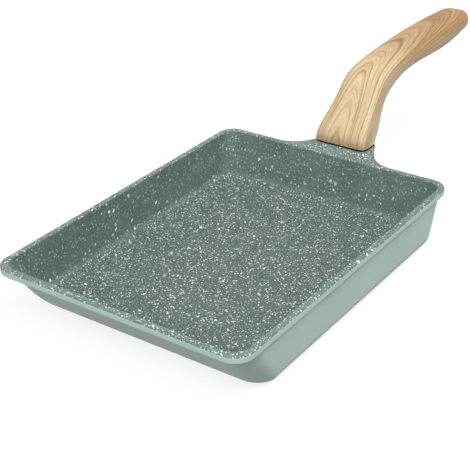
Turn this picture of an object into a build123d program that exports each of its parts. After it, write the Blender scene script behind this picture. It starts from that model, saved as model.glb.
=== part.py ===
"""Rectangular omelette pan with a moulded handle, in millimetres.

Origin: centre of the flat underside. +X runs to the handle, +Y across the pan, +Z up.
"""

import os
from math import atan2, cos, floor, radians, sin, tan

from build123d import *

os.makedirs("parts", exist_ok=True)

# Pan body
rim_length = 202.5
rim_width = 150.0
pan_height = 32.5
front_inset = 26.5  # from the rim's edge in to the underside's edge, opposite the handle
back_inset = 7.5
side_inset = 3.5
front_bulge = 2.2  # how far the sloped front wall swells out, a third of the way up
lip_height = 3.8
lip_overhang = 1.1
rim_top_width = 3.6  # flat top of the rim, from its outer edge to the well
floor_thickness = 4.0
rim_corner_radius = 10.3
wall_corner_radius = 13.0  # outside, just under the lip
base_corner_radius = 14.0
well_corner_radius = 8.5  # at the well's top
floor_corner_radius = 11.0
base_edge_radius = 7.2
wall_bands = 3  # how many equal bands the walls' skin is drawn through
floor_edge_radius = 6.0
lip_edge_radius = 1.1
lip_foot_radius = 0.5
well_edge_radius = 0.7

# Lug at the back wall
seat_gap = 5.75  # from the rim's back edge to the handle's front face
seat_depth = 15.5
seat_width = 34.0
seat_corner_radius = 3.5
pad_height = 1.7
pad_spread = 3.6  # how far the pad's foot reaches out at its front corners
post_inset = 0.4  # how much slimmer the lug is than its pad at the back
flare_radius = 18.5
shelf_taper = 31.0  # angle between the shelf's sides and the length direction, in degrees
lug_depth = 8.5  # from the rim's plane down to the lug's underside
gusset_drop = 19.0
gusset_width = 24.0
lug_edge_radius = 1.5

# Tongue that enters the handle
tongue_width = 18.0
tongue_thickness = 4.0
tongue_length = 22.0
tongue_edge_radius = 0.8
tongue_clearance = 0.2
seat_front_wall = 3.6  # handle wall between its front face and the socket, at the seat

# Gasket between lug and handle
gasket_thickness = 0.9
gasket_inset = 0.3

# Handle
handle_length = 156.6  # from the handle's front face to its tip
handle_rise = 42.1  # from the seat to the top of the grip
foot_edge_radius = 0.5

# Screw and washers
screw_diameter = 5.0
screw_head_diameter = 9.5
screw_head_height = 2.75
screw_dome = 1.9  # how much of the head's height is domed
screw_tip_diameter = 4.0
screw_place = 15.5  # from the seat, along the tongue
screw_floor = 2.0  # handle wall under the flat washer
screw_clearance = 0.3
thread_clearance = 0.05
screw_tip_relief = 1.0
drive_width = 4.6
drive_slot_width = 1.1
drive_depth = 1.6
flat_washer_diameter = 10.0
flat_washer_thickness = 1.0
spring_washer_diameter = 9.2
spring_washer_thickness = 1.2
spring_washer_split = 0.8
washer_clearance = 0.15
recess_clearance = 0.5

# Plate pressed into the underside
plate_margin = 14.0
plate_thickness = 0.6
plate_corner_radius = 12.0
plate_hole_diameter = 4.6
plate_hole_spacing = 13.0
plate_hole_margin = 8.0

overrun = 2.0  # how far every cut runs past the face it opens

# Each row is one cross section of the handle: its place on the upper line and on the underside,
# along and up, in shares of the handle's length and rise, then its width and its corner radius in
# shares of the seat's width and of its own thickness.
neck_shares = ((0.124, 0.618), (0.194, 0.390), 0.832, 0.392)
section_shares = [
    ((0.004, 0.127), (0.104, 0.020), 0.984, 0.248),
    ((0.028, 0.243), (0.119, 0.055), 0.963, 0.286),
    ((0.067, 0.386), (0.147, 0.150), 0.912, 0.334),
    neck_shares,
    ((0.180, 0.807), (0.233, 0.502), 0.818, 0.413),
    ((0.277, 0.917), (0.301, 0.594), 0.777, 0.440),
    ((0.416, 0.969), (0.424, 0.660), 0.737, 0.460),
    ((0.594, 0.994), (0.594, 0.650), 0.754, 0.455),
    ((0.773, 1.000), (0.773, 0.630), 0.725, 0.457),
    ((0.857, 0.998), (0.859, 0.650), 0.681, 0.470),
    ((0.912, 0.989), (0.913, 0.679), 0.647, 0.476),
]
# The rounded tip's cross sections: how far along the tip, and width and thickness left
tip_shares = [
    (0.35, 0.937, 0.940),
    (0.62, 0.785, 0.842),
    (0.82, 0.572, 0.665),
    (0.94, 0.341, 0.430),
    (0.99, 0.141, 0.195),
]

# Worked out from the sizes above
base_length = rim_length - front_inset - back_inset
base_width = rim_width - 2 * side_inset
rim_centre = (back_inset - front_inset) / 2
rim_back = base_length / 2 + back_inset
wall_top_length = rim_length - 2 * lip_overhang
wall_top_width = rim_width - 2 * lip_overhang
wall = rim_top_width - lip_overhang
seat_front = rim_back + seat_gap
seat_back = seat_front + seat_depth
lip_foot = pan_height - lip_height
lug_foot = pan_height - lug_depth
pad_top = pan_height + pad_height
seat_top = pad_top + gasket_thickness


def level_outline(height, inset, radius):
    """The pan wall's outline at a height, drawn in by an inset, on its own level."""
    share = height / pan_height
    bulge = front_bulge * 27 / 4 * share * (1 - share) ** 2
    length = base_length + share * (wall_top_length - base_length) + bulge - 2 * inset
    width = base_width + share * (wall_top_width - base_width) - 2 * inset
    with BuildSketch(Plane.XY.offset(height)) as outline:
        with Locations((share * rim_centre - bulge / 2, 0)):
            RectangleRounded(length, width, radius)
    return outline.sketch


def wall_loft(foot, inset, foot_radius, top_radius):
    """The smooth body through the walls' outlines, from a foot height up to the rim's plane."""
    outlines = []
    for band in range(wall_bands + 1):
        share = band / wall_bands
        height = foot + share * (pan_height - foot)
        outlines.append(level_outline(height, inset, foot_radius + share * (top_radius - foot_radius)))
    loft(outlines)


def handle_point(along, up):
    """A point of the handle's side view, from shares of its length and rise."""
    return Vector(seat_front + along * handle_length, 0, seat_top + up * handle_rise)


def section_plane(upper, under):
    """Plane of a cross section through its upper and its underside point, and its thickness."""
    across = upper - under
    plane = Plane(origin=(upper + under) / 2, x_dir=(0, 1, 0), z_dir=Vector(0, 1, 0).cross(across))
    return plane, across.length


# The tongue leans as the handle's neck does, and starts one wall behind the handle's front face
neck_upper = handle_point(*neck_shares[0])
tongue_lean = atan2(neck_upper.Z - seat_top, neck_upper.X - seat_front)
tongue_direction = Vector(cos(tongue_lean), 0, sin(tongue_lean))
tongue_normal = Vector(-sin(tongue_lean), 0, cos(tongue_lean))
tongue_half_span = (tongue_thickness / 2 + tongue_clearance) / sin(tongue_lean)
tongue_foot = Vector(seat_front + seat_front_wall + tongue_half_span, 0, seat_top)
tongue_root = (seat_top - pan_height + lip_height) / sin(tongue_lean)  # its length below the handle
tongue_plane = Plane(origin=tongue_foot, x_dir=(0, 1, 0), z_dir=tongue_direction)

# The screw enters from the handle's underside, square to the tongue
screw_seat = (
    tongue_foot
    + tongue_direction * screw_place
    - tongue_normal * (tongue_thickness / 2 + tongue_clearance + screw_floor)
)
screw_plane = Plane(origin=screw_seat, x_dir=(0, 1, 0), z_dir=-tongue_normal)
screw_reach = screw_floor + tongue_clearance + tongue_thickness
washer_stack = flat_washer_thickness + spring_washer_thickness
recess_radius = flat_washer_diameter / 2 + recess_clearance


# Plate, whose holes the casting fills
plate_length = base_length - 2 * plate_margin
plate_width = base_width - 2 * plate_margin
holes_along = floor((plate_length - 2 * plate_hole_margin) / plate_hole_spacing) + 1
holes_across = floor((plate_width - 2 * plate_hole_margin) / plate_hole_spacing) + 1

with BuildPart() as induction_plate:
    with BuildSketch():
        RectangleRounded(plate_length, plate_width, plate_corner_radius)
        with GridLocations(plate_hole_spacing, plate_hole_spacing, holes_along, holes_across):
            Circle(plate_hole_diameter / 2, mode=Mode.SUBTRACT)
    extrude(amount=plate_thickness)

induction_plate.part.label = "induction_plate"


# The well that the casting leaves open
with BuildPart() as well:
    wall_loft(floor_thickness, wall, floor_corner_radius, well_corner_radius)
    fillet(well.edges().group_by(Axis.Z)[0], floor_edge_radius)


def seat_outline(height, inset, spread):
    """The seat's outline at a height, drawn in by an inset, its front corners spread outwards."""
    front = seat_front + inset - spread
    front_side = seat_width / 2 - inset + spread
    back_side = seat_width / 2 - inset
    with BuildSketch(Plane.XY.offset(height)) as outline:
        Polygon(
            (front, -front_side),
            (seat_back - inset, -back_side),
            (seat_back - inset, back_side),
            (front, front_side),
            align=None,
        )
        fillet(outline.vertices(), seat_corner_radius)
    return outline.sketch


def tongue_prism(start, end, clearance):
    """The tongue's straight bar between two distances along it, with a clearance all round."""
    with BuildPart() as bar:
        with BuildSketch(tongue_plane.offset(start)):
            Rectangle(tongue_width + 2 * clearance, tongue_thickness + 2 * clearance)
        extrude(amount=end - start)
    return bar.part


def screw_bore(radius, start, end):
    """A round bar on the screw's axis, between two distances from the screw's seat outwards."""
    with BuildPart() as bar:
        with BuildSketch(screw_plane.offset(start)):
            Circle(radius)
        extrude(amount=end - start)
    return bar.part


# Tongue, its free edges rounded
with BuildPart() as tongue:
    add(tongue_prism(-tongue_root, tongue_length, 0))
    fillet(tongue.faces().sort_by(Axis.Z)[-1].edges(), tongue_edge_radius)

# Half outline of the shelf between rim and lug: an arc that leaves the rim's back edge, then a
# straight side that touches the lug's back corner
taper = radians(shelf_taper)
shelf_end = (
    seat_back - post_inset - seat_corner_radius * (1 - sin(taper)),
    seat_width / 2 - post_inset - seat_corner_radius * (1 - cos(taper)),
)
arc_end_x = rim_back + flare_radius * (1 - sin(taper))
arc_end_y = shelf_end[1] + (shelf_end[0] - arc_end_x) * tan(taper)
flare_start = arc_end_y + flare_radius * cos(taper)

# Post under the handle's pad
with BuildPart() as post:
    extrude(seat_outline(lug_foot, post_inset, 0), amount=lug_depth)
    fillet(post.edges().group_by(Axis.Z)[0], lug_edge_radius)

# The gusset's lower edges run along this line
gusset_run = Axis(
    (base_length / 2, 0, pan_height - gusset_drop),
    (seat_back - seat_corner_radius - base_length / 2, 0, gusset_drop - lip_height),
)

with BuildPart() as pan_body:
    wall_loft(0, 0, base_corner_radius, wall_corner_radius)
    fillet(pan_body.edges().group_by(Axis.Z)[0], base_edge_radius)

    # Lip and shelf
    with BuildSketch(Plane.XY.offset(lip_foot)):
        with Locations((rim_centre, 0)):
            RectangleRounded(rim_length, rim_width, rim_corner_radius)
        with BuildLine():
            Polyline(
                (rim_back - rim_top_width, 0),
                (rim_back - rim_top_width, flare_start),
                (rim_back, flare_start),
            )
            RadiusArc((rim_back, flare_start), (arc_end_x, arc_end_y), -flare_radius)
            Polyline((arc_end_x, arc_end_y), shelf_end, (shelf_end[0], 0))
            mirror(about=Plane.XZ)
        make_face()
    extrude(amount=lip_height)
    rim_edges = pan_body.edges().filter_by_position(Axis.Z, pan_height, pan_height)
    fillet(rim_edges.sort_by(Axis.X)[:-1], lip_edge_radius)
    lip_underside = pan_body.faces().filter_by(Plane.XY).sort_by(Axis.Z)[1]
    fillet(lip_underside.outer_wire().edges().sort_by(Axis.X)[:-1], lip_foot_radius)

    # Gusset under the shelf, from the back wall into the lug's post
    with BuildSketch(Plane.XZ):
        with BuildLine():
            Polyline(
                (rim_back - rim_top_width, lip_foot),
                (seat_back - seat_corner_radius, lip_foot),
                (base_length / 2, pan_height - gusset_drop),
                (base_length / 2 - wall, pan_height - gusset_drop),
                close=True,
            )
        make_face()
    extrude(amount=gusset_width / 2, both=True)
    gusset_edges = pan_body.edges(Select.LAST).filter_by(GeomType.LINE)
    fillet(gusset_edges.filter_by(gusset_run), lug_edge_radius)
    add(well.part, mode=Mode.SUBTRACT)
    fillet(pan_body.faces().sort_by(Axis.Z)[-1].inner_wires()[0].edges(), well_edge_radius)

    add(post.part)
    loft([seat_outline(pan_height, post_inset, pad_spread), seat_outline(pad_top, 0, 0)], ruled=True)

    # Tongue with the screw's thread, and the bed of the induction plate
    add(tongue.part)
    add(screw_bore(screw_diameter / 2 + thread_clearance, -screw_reach - overrun, 0), mode=Mode.SUBTRACT)
    add(induction_plate.part, mode=Mode.SUBTRACT)

pan_body.part.label = "pan_body"


# Gasket under the handle's foot
with BuildPart() as handle_gasket:
    extrude(seat_outline(pad_top, gasket_inset, 0), amount=gasket_thickness)
    add(tongue_prism(-tongue_root, tongue_length, tongue_clearance), mode=Mode.SUBTRACT)

handle_gasket.part.label = "handle_gasket"


# Handle
def handle_sections():
    """The cross sections that the handle's skin runs through, from above its foot to its tip."""
    sections = []
    for upper_share, under_share, width_share, corner_share in section_shares:
        plane, thickness = section_plane(handle_point(*upper_share), handle_point(*under_share))
        sections.append((plane, width_share * seat_width, thickness, corner_share * thickness))
    last_plane, last_width, last_thickness, last_corner = sections[-1]
    tip_length = seat_front + handle_length - last_plane.origin.X
    for along_share, width_share, thickness_share in tip_shares:
        plane = last_plane.offset(along_share * tip_length)
        thickness = thickness_share * last_thickness
        sections.append((plane, width_share * last_width, thickness, thickness_share * last_corner))
    return sections


with BuildPart() as handle:
    seat_plane, seat_thickness = section_plane(
        Vector(seat_front, 0, seat_top), Vector(seat_back, 0, seat_top)
    )
    seat_section = (seat_plane, seat_width, seat_thickness, seat_corner_radius)
    for plane, width, thickness, corner in [seat_section] + handle_sections():
        with BuildSketch(plane):
            RectangleRounded(width, thickness, corner)
    loft()
    fillet(handle.faces().sort_by(Axis.Z)[0].outer_wire().edges(), foot_edge_radius)
    add(tongue_prism(-tongue_root, tongue_length + tongue_clearance, tongue_clearance), mode=Mode.SUBTRACT)
    add(
        screw_bore((screw_diameter + screw_clearance) / 2, -screw_reach - screw_tip_relief, overrun),
        mode=Mode.SUBTRACT,
    )
    add(screw_bore(recess_radius, 0, seat_depth + overrun), mode=Mode.SUBTRACT)

handle.part.label = "handle"


# Washers, flat one against the handle
def washer(start, thickness, diameter):
    """Ring round the screw, from its start along the screw's outward direction."""
    with BuildPart() as ring:
        with BuildSketch(screw_plane.offset(start)):
            Circle(diameter / 2)
            Circle(screw_diameter / 2 + washer_clearance, mode=Mode.SUBTRACT)
        extrude(amount=thickness)
    return ring.part


with BuildPart() as flat_washer:
    add(washer(0, flat_washer_thickness, flat_washer_diameter))

flat_washer.part.label = "flat_washer"

with BuildPart() as spring_washer:
    add(washer(flat_washer_thickness, spring_washer_thickness, spring_washer_diameter))
    with BuildSketch(screw_plane.offset(flat_washer_thickness)):
        with Locations((spring_washer_diameter / 2, 0)):
            Rectangle(spring_washer_diameter, spring_washer_split)
    extrude(amount=spring_washer_thickness, mode=Mode.SUBTRACT)

spring_washer.part.label = "spring_washer"


# Screw, turned about its own axis
screw_outward = -tongue_normal
screw_side = Plane(origin=screw_seat, x_dir=(0, 1, 0), z_dir=Vector(0, 1, 0).cross(screw_outward))
head_top = washer_stack + screw_head_height
head_side = screw_head_height - screw_dome
tip_chamfer = screw_diameter / 2 - screw_tip_diameter / 2

with BuildPart() as handle_screw:
    with BuildSketch(screw_side):
        with BuildLine():
            Polyline(
                (0, head_top),
                (0, -screw_reach),
                (screw_tip_diameter / 2, -screw_reach),
                (screw_diameter / 2, -screw_reach + tip_chamfer),
                (screw_diameter / 2, washer_stack),
                (screw_head_diameter / 2, washer_stack),
                (screw_head_diameter / 2, washer_stack + head_side),
            )
            ThreePointArc(
                (screw_head_diameter / 2, washer_stack + head_side),
                (screw_head_diameter / 4, head_top - screw_dome / 4),
                (0, head_top),
            )
        make_face()
    revolve(axis=Axis(screw_seat, screw_outward))
    with BuildSketch(screw_plane.offset(head_top)):
        Rectangle(drive_width, drive_slot_width)
        Rectangle(drive_slot_width, drive_width)
    extrude(amount=-drive_depth, mode=Mode.SUBTRACT)

handle_screw.part.label = "handle_screw"


for piece in (pan_body, induction_plate, handle_gasket, handle, flat_washer, spring_washer, handle_screw):
    export_step(piece.part, f"parts/{piece.part.label}.step")
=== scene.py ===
"""Looks of the rectangular omelette pan: coating, wood-look handle, steel fittings and stage."""

import bpy
from bpy.props import FloatProperty, FloatVectorProperty, PointerProperty
from bpy.types import Operator, Panel, PropertyGroup
from mathutils import Matrix, Vector

bl_info = {
    "name": "Omelette pan finishes",
    "version": (1, 0, 0),
    "blender": (4, 5, 0),
    "location": "View3D > Sidebar > Pan",
    "description": "Coats the pan, prints the grain on its handle and sets it on a white floor",
    "category": "Object",
}

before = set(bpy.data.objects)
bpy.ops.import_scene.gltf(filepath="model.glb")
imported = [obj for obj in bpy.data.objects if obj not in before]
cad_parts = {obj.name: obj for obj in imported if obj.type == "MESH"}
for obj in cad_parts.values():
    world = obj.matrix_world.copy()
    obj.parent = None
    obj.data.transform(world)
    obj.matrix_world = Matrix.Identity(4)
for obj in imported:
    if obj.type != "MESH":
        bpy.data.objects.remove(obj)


def length(name, description, default):
    """A size in metres that the sidebar shows."""
    return FloatProperty(name=name, description=description, default=default, unit="LENGTH", precision=5)


def colour(name, description, default):
    """A colour that the sidebar shows."""
    return FloatVectorProperty(
        name=name, description=description, default=default, subtype="COLOR", size=3, min=0, max=1
    )


def share(name, description, default):
    """A share from 0 to 1 that the sidebar shows."""
    return FloatProperty(name=name, description=description, default=default, min=0, max=1, subtype="FACTOR")


def power(name, description, default):
    """A lamp's power in watts that the sidebar shows."""
    return FloatProperty(name=name, description=description, default=default, min=0, subtype="POWER")


class PanCoating(PropertyGroup):
    inside_colour: colour("Inside", "Stone-look coating between the flecks", (0.139, 0.196, 0.170))
    outside_colour: colour("Outside", "Plain coating of the outer walls", (0.535, 0.686, 0.598))
    fleck_colour: colour("Flecks", "Pale flecks of the stone look", (0.88, 0.94, 0.89))
    rim_length: length("Rim length", "Outside of the rim, along the pan", 0.2025)
    rim_width: length("Rim width", "Outside of the rim, across the pan", 0.15)
    height: length("Height", "From the underside to the rim's top", 0.0325)
    front_inset: length("Front inset", "From the rim's edge in to the foot of the sloped wall", 0.0265)
    back_inset: length("Back inset", "From the rim's edge in to the foot of the back wall", 0.0075)
    side_inset: length("Side inset", "From the rim's edge in to the foot of a side wall", 0.0035)
    front_bulge: length("Front bulge", "How far the sloped front wall swells out", 0.0022)
    lip_overhang: length("Lip overhang", "How far the rim stands out over the walls", 0.0011)
    wall: length("Wall", "Thickness of the walls", 0.0025)
    corner: length("Corner", "Radius of the walls' corners at mid wall", 0.0115)
    tops_depth: length("Speckled edge", "How far the speckles reach down the rim's edge", 0.0009)
    tops_fade: length("Edge fade", "Height over which the speckles fade in on that edge", 0.0003)
    tops_ragged: length("Ragged edge", "How far that edge strays up and down", 0.0001)
    floor_level: length("Floor level", "Height up to which the floor's darker ground reaches", 0.005)
    floor_fade: length("Floor fade", "Height over which that ground fades out", 0.0017)
    large_fleck: length("Large fleck", "Spacing of the large flecks", 0.0045)
    middle_fleck: length("Middle fleck", "Spacing of the middle flecks", 0.0024)
    fine_fleck: length("Fine fleck", "Spacing of the fine flecks", 0.0012)
    dust_fleck: length("Dust fleck", "Spacing of the smallest flecks", 0.0006)
    stone_relief: length("Stone relief", "Depth of the coating's texture", 0.00006)


class HandlePrint(PropertyGroup):
    light_wood: colour("Light wood", "Wood between the rings, at the neck", (0.705, 0.580, 0.361))
    warm_wood: colour("Warm wood", "Wood between the rings, at the tip", (0.480, 0.296, 0.116))
    brown_wood: colour("Brown wood", "Late wood of each ring", (0.29, 0.145, 0.050))
    bend_along: length("Bend along", "Centre of the neck's bend, along the pan", 0.14925)
    bend_height: length("Bend height", "Centre of the neck's bend, above the underside", 0.035)
    bend_radius: length("Bend radius", "From the bend's centre to the handle's upper side", 0.042)
    heart_depth: length("Heart depth", "From the upper side to the heart of the grain, at the foot", 0.0104)
    heart_offset: length("Heart offset", "How far the heart of the grain lies across the handle", 0.002)
    heart_slope: share("Heart slope", "How fast the heart of the grain sinks towards the tip", 0.083)
    ring_drift: length("Ring drift", "How far a ring strays to either side", 0.0006)
    side_start: length("Side start", "Depth at which the handle's sides begin", 0.003)
    # Painted light: from side start down to this depth the handle's sides are printed ever lighter, in place
    # of the light that falls on them
    painted_light_depth: length("Side full", "Depth from which the sides print lightest", 0.008)
    side_end: length("Side end", "Depth down to which the rings crowd together", 0.011)
    # Painted light: how much lighter the sides are printed, standing in for the light that falls on them
    painted_side_light: share("Lighter sides", "How much lighter the sides print than the upper side", 0.45)
    print_relief: length("Print relief", "Depth of the print's texture", 0.00004)


class SteelFinish(PropertyGroup):
    steel_colour: colour("Steel", "Stainless steel of plate, screw and washers", (0.60, 0.60, 0.58))
    brush_width: length("Brush marks", "Width of the brush marks", 0.0002)
    brush_depth: length("Brush depth", "Depth of the brush marks", 0.00001)


class GasketFinish(PropertyGroup):
    rubber_colour: colour("Rubber", "Black gasket under the handle", (0.006, 0.006, 0.006))
    grain_depth: length("Grain depth", "Depth of the moulded grain", 0.00003)


class PanStage(PropertyGroup):
    floor_colour: colour("Floor", "Floor before it is whitened for the camera", (0.24, 0.24, 0.24))
    floor_size: length("Floor size", "Side of the square floor", 12.0)
    floor_gap: length("Floor gap", "From the floor up to the pan's underside", 0.0002)
    floor_glow: share("Floor glow", "How much the floor is whitened under the pan", 0.80)
    glow_start: length("Glow start", "Distance from the pan at which the glow starts to grow", 0.5)
    glow_end: length("Glow end", "Distance from the pan at which the glow is full", 1.5)
    room_light: share("Room light", "Strength of the even light from all round", 0.22)
    front_power: power("Front softbox", "Lamp before the pan", 42.0)
    side_power: power("Side softbox", "Lamp at the pan's side", 50.0)
    softbox_width: length("Softbox width", "Width of either lamp", 1.9)
    softbox_height: length("Softbox height", "Height of either lamp", 1.45)


# Small tools for the finishes


def new_finish(name):
    """An empty finish: its node tree, its shader, and the place on the object."""
    finish = bpy.data.materials.new(name)
    finish.use_nodes = True
    tree = finish.node_tree
    shader = tree.nodes["Principled BSDF"]
    place = tree.nodes.new("ShaderNodeTexCoord").outputs["Object"]
    return finish, tree, shader, place


def feed(tree, socket, value):
    """Gives a socket a number, a colour or another node's output."""
    if isinstance(value, bpy.types.NodeSocket):
        tree.links.new(value, socket)
    elif hasattr(socket.default_value, "__len__") and len(value) == 3 and len(socket.default_value) == 4:
        socket.default_value = (*value, 1)
    else:
        socket.default_value = value


def calc(tree, operation, *values):
    """One sum on numbers."""
    node = tree.nodes.new("ShaderNodeMath")
    node.operation = operation
    for socket, value in zip(node.inputs, values):
        feed(tree, socket, value)
    return node.outputs[0]


def calc_place(tree, operation, *values):
    """One sum on places."""
    node = tree.nodes.new("ShaderNodeVectorMath")
    node.operation = operation
    for socket, value in zip(node.inputs, values):
        feed(tree, socket, value)
    return node.outputs["Value" if operation == "LENGTH" else "Vector"]


def split(tree, place):
    """The three numbers of a place."""
    node = tree.nodes.new("ShaderNodeSeparateXYZ")
    feed(tree, node.inputs[0], place)
    return node.outputs


def join(tree, x, y, z):
    """A place from three numbers."""
    node = tree.nodes.new("ShaderNodeCombineXYZ")
    for socket, value in zip(node.inputs, (x, y, z)):
        feed(tree, socket, value)
    return node.outputs[0]


def remap(tree, value, low, high, new_low, new_high, soft=False):
    """A number carried from one range to another, held at its ends."""
    node = tree.nodes.new("ShaderNodeMapRange")
    node.interpolation_type = "SMOOTHSTEP" if soft else "LINEAR"
    for socket, number in zip(node.inputs, (value, low, high, new_low, new_high)):
        feed(tree, socket, number)
    return node.outputs[0]


def tint(tree, amount, first, second):
    """A colour between two others."""
    node = tree.nodes.new("ShaderNodeMix")
    node.data_type = "RGBA"
    feed(tree, node.inputs[0], amount)
    feed(tree, node.inputs[6], first)
    feed(tree, node.inputs[7], second)
    return node.outputs[2]


def shade(base, factor):
    """A colour made darker or lighter by a factor."""
    return tuple(factor * part for part in base)


def noise(tree, place, scale, detail, roughness=0.5):
    """Cloudy noise from 0 to 1, its scale in patches a metre."""
    node = tree.nodes.new("ShaderNodeTexNoise")
    feed(tree, node.inputs["Vector"], place)
    feed(tree, node.inputs["Scale"], scale)
    feed(tree, node.inputs["Detail"], detail)
    feed(tree, node.inputs["Roughness"], roughness)
    return node.outputs["Fac"]


def curve(tree, value, points):
    """A number read off a drawn line."""
    node = tree.nodes.new("ShaderNodeFloatCurve")
    line = node.mapping.curves[0]
    while len(line.points) < len(points):
        line.points.new(0.5, 0.5)
    for point, (x, y) in zip(line.points, points):
        point.location = (x, y)
        point.handle_type = "VECTOR"
    node.mapping.update()
    feed(tree, node.inputs["Value"], value)
    return node.outputs[0]


def relief(tree, shader, height, depth, strength):
    """Raises the surface by a height from 0 to 1 over a depth in metres."""
    node = tree.nodes.new("ShaderNodeBump")
    feed(tree, node.inputs["Height"], height)
    feed(tree, node.inputs["Distance"], depth)
    feed(tree, node.inputs["Strength"], strength)
    tree.links.new(node.outputs["Normal"], shader.inputs["Normal"])


def finish_node(name, finish):
    """Gives one of the pan's pieces its finish."""
    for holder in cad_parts[name].material_slots:
        holder.material = finish


# Coating


def inside_shares(tree, place, s):
    """Two shares: 1 in the well and on the tops of rim and lug, and 1 on those tops alone."""
    base_length = s.rim_length - s.front_inset - s.back_inset
    base_width = s.rim_width - 2 * s.side_inset
    top_length = s.rim_length - 2 * s.lip_overhang
    top_width = s.rim_width - 2 * s.lip_overhang
    top_offset = (s.back_inset - s.front_inset) / 2
    # The hump below peaks at 4/27, and half of the bulge goes to the length, half to the shift
    half_bulge = s.front_bulge * 27 / 8
    x, y, z = split(tree, place)
    up = remap(tree, z, 0, s.height, 0, 1)
    down = calc(tree, "SUBTRACT", 1, up)
    half_length = calc(tree, "MULTIPLY_ADD", up, (top_length - base_length) / 2, (base_length - s.wall) / 2)
    half_width = calc(tree, "MULTIPLY_ADD", up, (top_width - base_width) / 2, (base_width - s.wall) / 2)
    hump = calc(tree, "MULTIPLY", up, calc(tree, "MULTIPLY", down, down))
    swell = calc(tree, "MULTIPLY", hump, half_bulge)
    half_length = calc(tree, "ADD", half_length, swell)
    along = calc(tree, "SUBTRACT", x, calc(tree, "MULTIPLY", up, top_offset))
    along = calc(tree, "ADD", along, swell)
    past_middle = calc_place(tree, "ABSOLUTE", join(tree, along, y, 0))
    from_sides = calc_place(tree, "SUBTRACT", past_middle, join(tree, half_length, half_width, 0))
    past_corner = calc_place(tree, "ADD", from_sides, (s.corner, s.corner, 0))
    past_corner = calc_place(tree, "MAXIMUM", past_corner, (0, 0, 0))
    in_walls = calc(tree, "LESS_THAN", calc_place(tree, "LENGTH", past_corner), s.corner)
    in_well = calc(tree, "MULTIPLY", in_walls, calc(tree, "GREATER_THAN", z, s.wall / 2))
    edge = noise(tree, place, scale=900, detail=2)
    edge = calc(tree, "MULTIPLY_ADD", edge, 2 * s.tops_ragged, -s.tops_ragged)
    tops_foot = s.height - s.tops_depth
    on_top = remap(tree, calc(tree, "ADD", z, edge), tops_foot, tops_foot + s.tops_fade, 0, 1)
    return calc(tree, "MAXIMUM", in_well, on_top), on_top


# Flecks by size: their spacing's name, a shift of their pattern, the share of its cells that hold one,
# their smallest and largest radius in shares of the spacing, and their strength on walls, floor and tops
FLECKS = (
    ("large_fleck", (0, 0, 0), 0.40, 0.08, 0.27, 1, 1, 1),
    ("middle_fleck", (0.3, 0.1, 0.2), 0.60, 0.09, 0.29, 1, 0.65, 1),
    ("fine_fleck", (0.7, 0.5, 0.6), 0.85, 0.16, 0.48, 0.45, 0.80, 0.80),
    ("dust_fleck", (0.2, 0.9, 0.4), 0.75, 0.20, 0.50, 0.20, 0.60, 0.60),
)
WOBBLES = 1.8  # wobbles of the flecks' outlines to one spacing
WOBBLE_REACH = 0.6  # how far they push, in spacings
FLECK_CORE = 0.55  # share of a fleck's radius within which it is at its palest
FAINTEST = 0.35  # strength of the faintest fleck, and below of the palest one
PALEST = 1.1
FLECK_STRETCH = (1, 1, 0.8)  # flecks run a little longer up the walls


def flecks(tree, place, spacing, density, smallest, largest):
    """Scattered round-edged flecks: their share of the cells, and their radii in shares of the spacing."""
    wobble = tree.nodes.new("ShaderNodeTexNoise")
    feed(tree, wobble.inputs["Vector"], place)
    feed(tree, wobble.inputs["Scale"], WOBBLES / spacing)
    feed(tree, wobble.inputs["Detail"], 1)
    push = (spacing * WOBBLE_REACH,) * 3
    moved = calc_place(tree, "MULTIPLY_ADD", wobble.outputs["Color"], push, place)
    cells = tree.nodes.new("ShaderNodeTexVoronoi")
    feed(tree, cells.inputs["Vector"], moved)
    feed(tree, cells.inputs["Scale"], 1 / spacing)
    chance, size, tone = split(tree, cells.outputs["Color"])
    radius = remap(tree, size, 0, 1, smallest, largest)
    core = calc(tree, "MULTIPLY", radius, FLECK_CORE)
    body = remap(tree, cells.outputs["Distance"], core, radius, 1, 0, soft=True)
    kept = calc(tree, "LESS_THAN", chance, density)
    paleness = remap(tree, tone, 0, 1, FAINTEST, PALEST)
    return calc(tree, "MULTIPLY", calc(tree, "MULTIPLY", body, kept), paleness)


def all_flecks(tree, place, low, on_top, s):
    """Flecks of all sizes, in their strengths on the walls, the floor and the tops."""
    stretched = calc_place(tree, "MULTIPLY", place, FLECK_STRETCH)
    found = 0
    for spacing, shift, density, smallest, largest, walls, floor, tops in FLECKS:
        moved = calc_place(tree, "ADD", stretched, shift)
        some = flecks(tree, moved, getattr(s, spacing), density, smallest, largest)
        strength = calc(tree, "MULTIPLY_ADD", low, floor - walls, walls)
        strength = calc(tree, "MULTIPLY_ADD", on_top, tops - walls, strength)
        found = calc(tree, "MAXIMUM", calc(tree, "MULTIPLY", some, strength), found)
    return found


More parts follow.
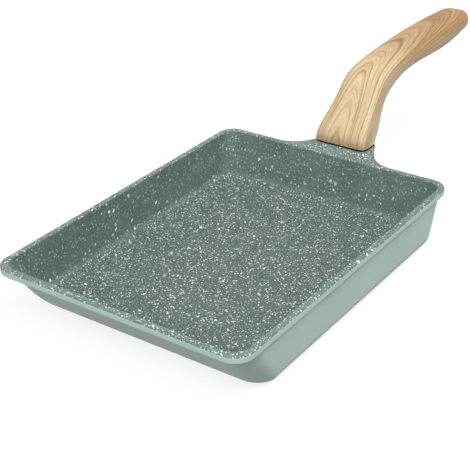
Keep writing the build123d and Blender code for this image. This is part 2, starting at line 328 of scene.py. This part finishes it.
def speckled_coating(s):
    """Stone-look coating inside, plain satin coating outside."""
    finish, tree, shader, place = new_finish("speckled_coating")
    inside, on_top = inside_shares(tree, place, s)
    z = split(tree, place)[2]
    low = remap(tree, z, s.floor_level, s.floor_level + s.floor_fade, 1, 0, soft=True)
    fleck = all_flecks(tree, place, low, on_top, s)
    clouds = noise(tree, place, scale=45, detail=3)
    mottle = noise(tree, place, scale=700, detail=3, roughness=0.6)
    fine_grain = noise(tree, place, scale=2600, detail=2, roughness=0.6)

    dark_inside = shade(s.inside_colour, 0.78)
    light_inside = shade(s.inside_colour, 1.22)
    floor_ground = shade(s.inside_colour, 0.43)
    ground = tint(tree, remap(tree, clouds, 0.3, 0.7, 0.2, 0.8), dark_inside, light_inside)
    ground = tint(tree, calc(tree, "MULTIPLY", low, 0.75), ground, floor_ground)
    ground = tint(tree, remap(tree, mottle, 0.35, 0.75, 0, 0.4), ground, dark_inside)
    ground = tint(tree, fleck, ground, s.fleck_colour)

    dark_outside = shade(s.outside_colour, 0.94)
    light_outside = shade(s.outside_colour, 1.06)
    pearl = calc(tree, "MULTIPLY_ADD", clouds, 0.6, calc(tree, "MULTIPLY", fine_grain, 0.4))
    plain = tint(tree, remap(tree, pearl, 0.3, 0.7, 0, 1), dark_outside, light_outside)

    feed(tree, shader.inputs["Base Color"], tint(tree, inside, plain, ground))
    feed(tree, shader.inputs["Roughness"], remap(tree, fine_grain, 0.3, 0.7, 0.36, 0.46))
    stone = calc(tree, "MULTIPLY_ADD", fleck, 0.6, calc(tree, "MULTIPLY", mottle, 0.4))
    stone = calc(tree, "MULTIPLY", stone, inside)
    height = calc(tree, "MULTIPLY_ADD", stone, 0.8, calc(tree, "MULTIPLY", fine_grain, 0.2))
    relief(tree, shader, height, depth=s.stone_relief, strength=0.6)
    shader.inputs["Specular IOR Level"].default_value = 0.1
    return finish


# Wood print


def unbent(tree, place, s):
    """Place on the handle as if its neck were straight: along it, across it, and up from its upper side."""
    x, y, z = split(tree, place)
    ahead = calc(tree, "MAXIMUM", calc(tree, "SUBTRACT", s.bend_along, x), 0)
    above = calc(tree, "SUBTRACT", z, s.bend_height)
    turn = calc(tree, "ARCTAN2", above, ahead)
    behind = calc(tree, "MAXIMUM", calc(tree, "SUBTRACT", x, s.bend_along), 0)
    along = calc(tree, "MULTIPLY_ADD", turn, s.bend_radius, behind)
    reach = calc_place(tree, "LENGTH", join(tree, ahead, above, 0))
    depth = calc(tree, "SUBTRACT", reach, s.bend_radius)
    return along, y, depth


PRINT_LENGTH = 0.17  # along the handle's upper side, from its foot to past its tip

# Height of the upper side over the bend's circle: along the handle in shares of the print's length,
# and up in shares of the crown's range, from the crown's lowest level
CROWN = (
    (0, 0.901), (0.059, 0.688), (0.118, 0.443), (0.176, 0.373), (0.235, 0.371), (0.294, 0.315),
    (0.353, 0.273), (0.412, 0.314), (0.471, 0.349), (0.529, 0.372), (0.647, 0.398), (0.824, 0.411), (1, 0.38),
)
CROWN_RANGE = 0.02
CROWN_LOWEST = -0.008
CROWN_SLACK = 0.001  # how far under the crown the print still counts as its upper side

# Rings of the print: radius in metres, and how dark each one is
RINGS = (
    (0.0109, 0.45), (0.0122, 0.25), (0.0139, 0.55), (0.0147, 0.55), (0.0162, 0.3), (0.01795, 1.0),
    (0.0189, 0.2), (0.0202, 0.5), (0.0218, 1.0), (0.02235, 0.6), (0.0229, 0.6), (0.02355, 0.8),
    (0.0244, 0.4), (0.0252, 0.9), (0.0261, 0.4), (0.0269, 0.7), (0.0278, 0.4), (0.0288, 0.8),
    (0.0299, 0.4), (0.0310, 0.6), (0.0322, 0.4), (0.0334, 0.7), (0.0346, 0.4),
)
RING_RANGE = 0.036
RING_EDGE = ((-0.0004, 0.1), (-0.00012, 0.6), (0, 1), (0.00014, 0))  # distance from it, share of its darkness
RING_CROWDING = 1.5  # how much the ring radius grows with depth on the handle's sides
RING_STRENGTH = 1.7

# How boldly the grain prints, and how warm the wood, along the handle in shares of the print's length
BOLDNESS = ((0, 0.6), (0.3, 0.65), (0.55, 0.9), (1, 1))
WARMTH = ((0, 0.27), (0.06, 0.19), (0.15, 0.02), (0.3, 0.12), (0.5, 0.58), (0.7, 0.85), (0.85, 1), (1, 0.85))


def ring_line():
    """Darkness over the ring radius: each ring darkens slowly and ends sharply."""
    points = [(0, 0)]
    for radius, dark in RINGS:
        for ahead, part in RING_EDGE:
            points.append(((radius + ahead) / RING_RANGE, part * dark))
    return points


def grain(tree, stretch, along, across, down, scale, detail, roughness):
    """Noise that is drawn out along the handle, the more the smaller its stretch is."""
    place = join(tree, calc(tree, "MULTIPLY", along, stretch), across, down)
    return noise(tree, place, scale, detail, roughness)


def ring_radius(tree, along, across, sunk, s):
    """Distance from the heart of the grain, which sinks towards the tip."""
    drift = grain(tree, 0.2, along, across, sunk, scale=60, detail=1, roughness=0.5)
    drift = calc(tree, "MULTIPLY_ADD", drift, 2 * s.ring_drift, -s.ring_drift)
    height = calc(tree, "ADD", calc(tree, "MULTIPLY_ADD", along, s.heart_slope, s.heart_depth), sunk)
    aside = calc(tree, "SUBTRACT", across, s.heart_offset)
    radius = calc(tree, "ADD", calc_place(tree, "LENGTH", join(tree, aside, height, 0)), drift)
    sideways = calc(tree, "MULTIPLY", calc(tree, "MAXIMUM", sunk, -s.side_end), -RING_CROWDING)
    return calc(tree, "ADD", radius, sideways)


def wood_print(s):
    """Printed wood grain, drawn as rings round a heart that sinks towards the tip, with painted light that
    prints the handle's sides lighter.
    """
    finish, tree, shader, place = new_finish("wood_look_print")
    along, across, depth = unbent(tree, place, s)
    along_share = calc(tree, "DIVIDE", along, PRINT_LENGTH)
    crown = calc(tree, "MULTIPLY_ADD", curve(tree, along_share, CROWN), CROWN_RANGE, CROWN_LOWEST)
    sunk = calc(tree, "SUBTRACT", depth, crown)
    sunk = calc(tree, "MINIMUM", calc(tree, "ADD", sunk, CROWN_SLACK), 0)
    # Painted light: a share that is 1 on the handle's sides, where the wood is printed lighter below
    side = remap(tree, sunk, -s.painted_light_depth, -s.side_start, 1, 0)

    # Painted light: the sides are printed in paler, less warm wood, in place of the light that falls on them
    warmth = calc(tree, "MULTIPLY_ADD", side, -s.painted_side_light, curve(tree, along_share, WARMTH))
    wood = tint(tree, calc(tree, "MINIMUM", warmth, 1), s.light_wood, s.warm_wood)

    radius = ring_radius(tree, along, across, sunk, s)
    late = curve(tree, calc(tree, "DIVIDE", radius, RING_RANGE), ring_line())
    streaks = grain(tree, 0.012, along, radius, 0, scale=3200, detail=3, roughness=0.65)
    pores = grain(tree, 0.12, along, across, sunk, scale=1500, detail=2, roughness=0.7)
    flame = grain(tree, 0.45, along, across, sunk, scale=900, detail=3, roughness=0.65)
    bold = curve(tree, along_share, BOLDNESS)
    rings = calc(tree, "MULTIPLY", calc(tree, "MULTIPLY", late, RING_STRENGTH), bold)
    fibres = calc(tree, "MULTIPLY", remap(tree, streaks, 0.35, 0.75, -0.05, 0.8), bold)
    brown = calc(tree, "ADD", rings, fibres)
    brown = calc(tree, "ADD", brown, remap(tree, pores, 0.5, 0.8, 0, 0.2))
    brown = calc(tree, "ADD", brown, remap(tree, flame, 0.45, 0.75, 0, 0.2))
    # Painted light: the rings and grain print fainter on the sides, so that the sides look lit
    brown = calc(tree, "MULTIPLY", brown, calc(tree, "MULTIPLY_ADD", side, -s.painted_side_light, 1))
    brown = calc(tree, "MINIMUM", calc(tree, "MAXIMUM", brown, 0), 1)

    feed(tree, shader.inputs["Base Color"], tint(tree, brown, wood, s.brown_wood))
    feed(tree, shader.inputs["Roughness"], remap(tree, streaks, 0.3, 0.7, 0.40, 0.50))
    relief(tree, shader, brown, depth=s.print_relief, strength=0.4)
    shader.inputs["Specular IOR Level"].default_value = 0.4
    return finish


# Steel and rubber


def brushed_steel(s):
    """Stainless steel with fine straight brush marks."""
    finish, tree, shader, place = new_finish("brushed_steel")
    drawn_out = calc_place(tree, "MULTIPLY", place, (0.03, 1, 1))
    marks = noise(tree, drawn_out, scale=1 / s.brush_width, detail=2, roughness=0.6)
    smudge = noise(tree, place, scale=60, detail=3)
    dark_steel = shade(s.steel_colour, 0.85)
    steel = tint(tree, remap(tree, marks, 0.3, 0.7, 0, 1), dark_steel, s.steel_colour)
    feed(tree, shader.inputs["Base Color"], steel)
    rough = calc(tree, "MULTIPLY_ADD", smudge, 0.12, remap(tree, marks, 0.3, 0.7, 0.2, 0.32))
    feed(tree, shader.inputs["Roughness"], rough)
    shader.inputs["Metallic"].default_value = 1
    relief(tree, shader, marks, depth=s.brush_depth, strength=0.5)
    return finish


def black_rubber(s):
    """Matt black rubber with a fine moulded grain."""
    finish, tree, shader, place = new_finish("black_rubber")
    moulded = noise(tree, place, scale=3500, detail=3, roughness=0.6)
    dusty = shade(s.rubber_colour, 2.2)
    rubber = tint(tree, remap(tree, moulded, 0.4, 0.7, 0, 1), s.rubber_colour, dusty)
    feed(tree, shader.inputs["Base Color"], rubber)
    feed(tree, shader.inputs["Roughness"], remap(tree, moulded, 0.3, 0.7, 0.6, 0.8))
    relief(tree, shader, moulded, depth=s.grain_depth, strength=0.5)
    shader.inputs["Specular IOR Level"].default_value = 0.1
    return finish


# Pieces


class PAN_OT_coat_body(Operator):
    """Coat the cast body: speckled inside, plain outside"""
    bl_idname = "omelette_pan.coat_body"
    bl_label = "Coat the body"

    def execute(self, context):
        finish_node("pan_body", speckled_coating(context.scene.pan_coating))
        return {"FINISHED"}


class PAN_OT_print_handle(Operator):
    """Print the wood grain on the handle"""
    bl_idname = "omelette_pan.print_handle"
    bl_label = "Print the handle"

    def execute(self, context):
        finish_node("handle", wood_print(context.scene.handle_print))
        return {"FINISHED"}


class PAN_OT_finish_gasket(Operator):
    """Blacken the gasket between lug and handle"""
    bl_idname = "omelette_pan.finish_gasket"
    bl_label = "Finish the gasket"

    def execute(self, context):
        finish_node("handle_gasket", black_rubber(context.scene.gasket_finish))
        return {"FINISHED"}


class PAN_OT_brush_steel(Operator):
    """Brush the induction plate, the screw and its washers"""
    bl_idname = "omelette_pan.brush_steel"
    bl_label = "Brush the steel"

    def execute(self, context):
        finish = brushed_steel(context.scene.steel_finish)
        for name in ("induction_plate", "handle_screw", "spring_washer", "flat_washer"):
            finish_node(name, finish)
        return {"FINISHED"}


# Stage


# Where the lamps look, and where they hang
PAN_MIDDLE = (0, 0, 0.02)
FRONT_PLACE = (-1.6, -0.16, 1.84)
SIDE_PLACE = (0.16, -1.18, 2.20)

# Camera: its place in metres, its three directions, and its lens and sensor in millimetres
CAMERA_PLACE = (-0.4361, -0.3079, 0.3160)
CAMERA_RIGHT = Vector((0.5743, -0.8183, -0.0223))
CAMERA_UP = Vector((0.4073, 0.2620, 0.8749))
CAMERA_AHEAD = Vector((0.7101, 0.5116, -0.4838))
CAMERA_LENS = 87.88
CAMERA_SENSOR = 36
CAMERA_SHIFT = -0.00106  # moves the picture up by half a pixel


def softbox(name, place, watts, s):
    """A soft area lamp that looks at the middle of the pan."""
    lamp = bpy.data.lights.new(name, "AREA")
    lamp.shape = "RECTANGLE"
    lamp.size = s.softbox_width
    lamp.size_y = s.softbox_height
    lamp.energy = watts
    holder = bpy.data.objects.new(name, lamp)
    holder.location = place
    holder.rotation_euler = (Vector(PAN_MIDDLE) - Vector(place)).to_track_quat("-Z", "Y").to_euler()
    bpy.context.scene.collection.objects.link(holder)


def white_for_camera(tree):
    """1 for rays that the camera sees, straight, in a reflection or through glass."""
    path = tree.nodes.new("ShaderNodeLightPath")
    seen = calc(tree, "MAXIMUM", path.outputs["Is Camera Ray"], path.outputs["Is Glossy Ray"])
    return calc(tree, "MAXIMUM", seen, path.outputs["Is Transmission Ray"])


def lay_floor(s):
    """A matt floor that the camera sees nearly white under the pan, and white further off."""
    bpy.ops.mesh.primitive_plane_add(size=s.floor_size, location=(0, 0, -s.floor_gap))
    floor = bpy.context.object
    floor.name = "pale_floor"
    finish, tree, shader, place = new_finish("pale_floor")
    feed(tree, shader.inputs["Base Color"], s.floor_colour)
    shader.inputs["Roughness"].default_value = 1
    shader.inputs["Specular IOR Level"].default_value = 0
    shader.inputs["Emission Color"].default_value = (1, 1, 1, 1)
    away = calc_place(tree, "LENGTH", place)
    glow = remap(tree, away, s.glow_start, s.glow_end, s.floor_glow, 1)
    feed(tree, shader.inputs["Emission Strength"], calc(tree, "MULTIPLY", white_for_camera(tree), glow))
    floor.data.materials.append(finish)


def light_room(s):
    """An even dim light from all round, with a background that the camera sees white."""
    world = bpy.data.worlds.new("studio")
    world.use_nodes = True
    bpy.context.scene.world = world
    tree = world.node_tree
    background = tree.nodes["Background"]
    background.inputs["Color"].default_value = (1, 1, 1, 1)
    feed(tree, background.inputs["Strength"], remap(tree, white_for_camera(tree), 0, 1, s.room_light, 1))


def place_camera():
    """The camera, where the photograph's edges say it stood."""
    camera = bpy.data.cameras.new("camera")
    camera.lens = CAMERA_LENS
    camera.sensor_width = CAMERA_SENSOR
    camera.shift_y = CAMERA_SHIFT
    holder = bpy.data.objects.new("camera", camera)
    bpy.context.scene.collection.objects.link(holder)
    turn = Matrix((CAMERA_RIGHT, CAMERA_UP, -CAMERA_AHEAD)).transposed().to_4x4()
    holder.matrix_world = Matrix.Translation(CAMERA_PLACE) @ turn
    bpy.context.scene.camera = holder


class PAN_OT_set_stage(Operator):
    """Set the pan on a white floor under soft lamps, with the camera in front of it"""
    bl_idname = "omelette_pan.set_stage"
    bl_label = "Set the stage"

    def execute(self, context):
        s = context.scene.pan_stage
        context.scene.view_settings.view_transform = "Standard"
        lay_floor(s)
        light_room(s)
        softbox("front_softbox", FRONT_PLACE, s.front_power, s)
        softbox("side_softbox", SIDE_PLACE, s.side_power, s)
        place_camera()
        return {"FINISHED"}


PIECES = (PAN_OT_coat_body, PAN_OT_print_handle, PAN_OT_finish_gasket, PAN_OT_brush_steel, PAN_OT_set_stage)
SETTINGS = {
    "pan_coating": PanCoating,
    "handle_print": HandlePrint,
    "gasket_finish": GasketFinish,
    "steel_finish": SteelFinish,
    "pan_stage": PanStage,
}


class VIEW3D_PT_omelette_pan(Panel):
    """Finishes and stage of the omelette pan"""
    bl_label = "Omelette pan"
    bl_idname = "VIEW3D_PT_omelette_pan"
    bl_space_type = "VIEW_3D"
    bl_region_type = "UI"
    bl_category = "Pan"

    def draw(self, context):
        for piece, holder in zip(PIECES, SETTINGS):
            box = self.layout.box()
            box.operator(piece.bl_idname)
            settings = getattr(context.scene, holder)
            for name in settings.__annotations__:
                box.prop(settings, name)


def register():
    for group in SETTINGS.values():
        bpy.utils.register_class(group)
    for holder, group in SETTINGS.items():
        setattr(bpy.types.Scene, holder, PointerProperty(type=group))
    for piece in PIECES:
        bpy.utils.register_class(piece)
    bpy.utils.register_class(VIEW3D_PT_omelette_pan)


def unregister():
    bpy.utils.unregister_class(VIEW3D_PT_omelette_pan)
    for piece in reversed(PIECES):
        bpy.utils.unregister_class(piece)
    for holder, group in SETTINGS.items():
        delattr(bpy.types.Scene, holder)
        bpy.utils.unregister_class(group)


def main():
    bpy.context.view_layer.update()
    register()
    bpy.ops.omelette_pan.coat_body()
    bpy.ops.omelette_pan.print_handle()
    bpy.ops.omelette_pan.finish_gasket()
    bpy.ops.omelette_pan.brush_steel()
    bpy.ops.omelette_pan.set_stage()


if __name__ == "__main__":
    main()
